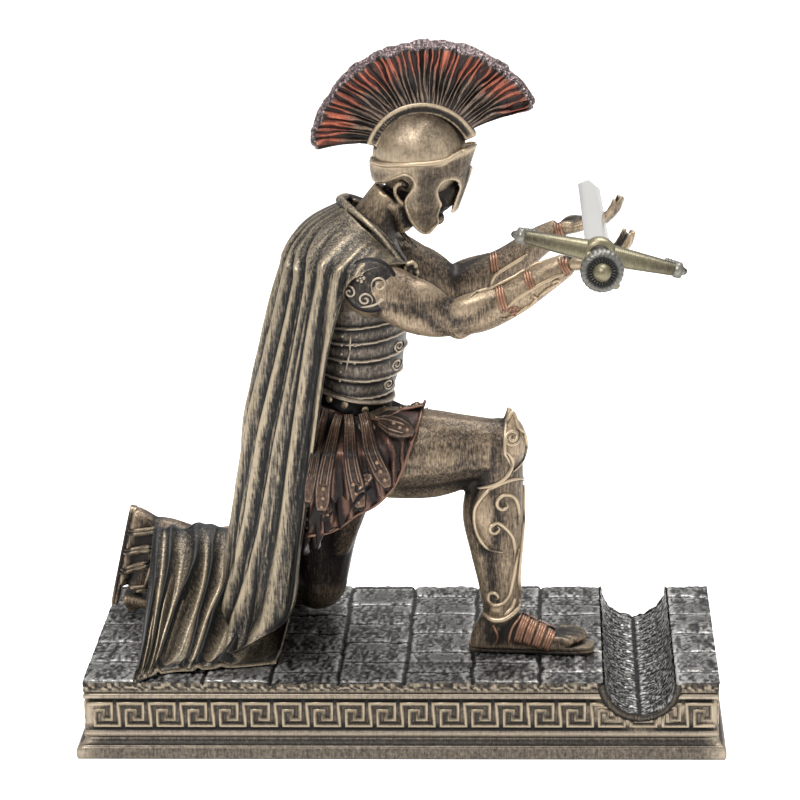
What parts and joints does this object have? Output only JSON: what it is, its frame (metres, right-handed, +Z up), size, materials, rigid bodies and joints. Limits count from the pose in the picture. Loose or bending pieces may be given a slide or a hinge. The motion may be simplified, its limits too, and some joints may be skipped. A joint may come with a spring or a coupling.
{
  "type": "kneeling roman soldier statue",
  "caption": "Desk statue of a kneeling Roman soldier in crested helmet and cloak, holding a loose sword on raised palms, on a plinth with a pen trough.",
  "frame": {"origin": "middle of the plinth's underside", "axes": "+Z up, +X the way the soldier faces, +Y towards the soldier's left"},
  "size_m": [0.176, 0.1361, 0.189],
  "materials": {
    "aged_bronze": "cold-cast bronze, dark patina with rubbed highlights",
    "bright_steel": "polished",
    "aged_brass": "aged, with dark recesses"
  },
  "bodies": {
    "root": {"plinth": "aged_bronze", "soldier": "aged_bronze", "sword_blade": "bright_steel", "sword_hilt": "aged_brass"}
  },
  "joints": []
}
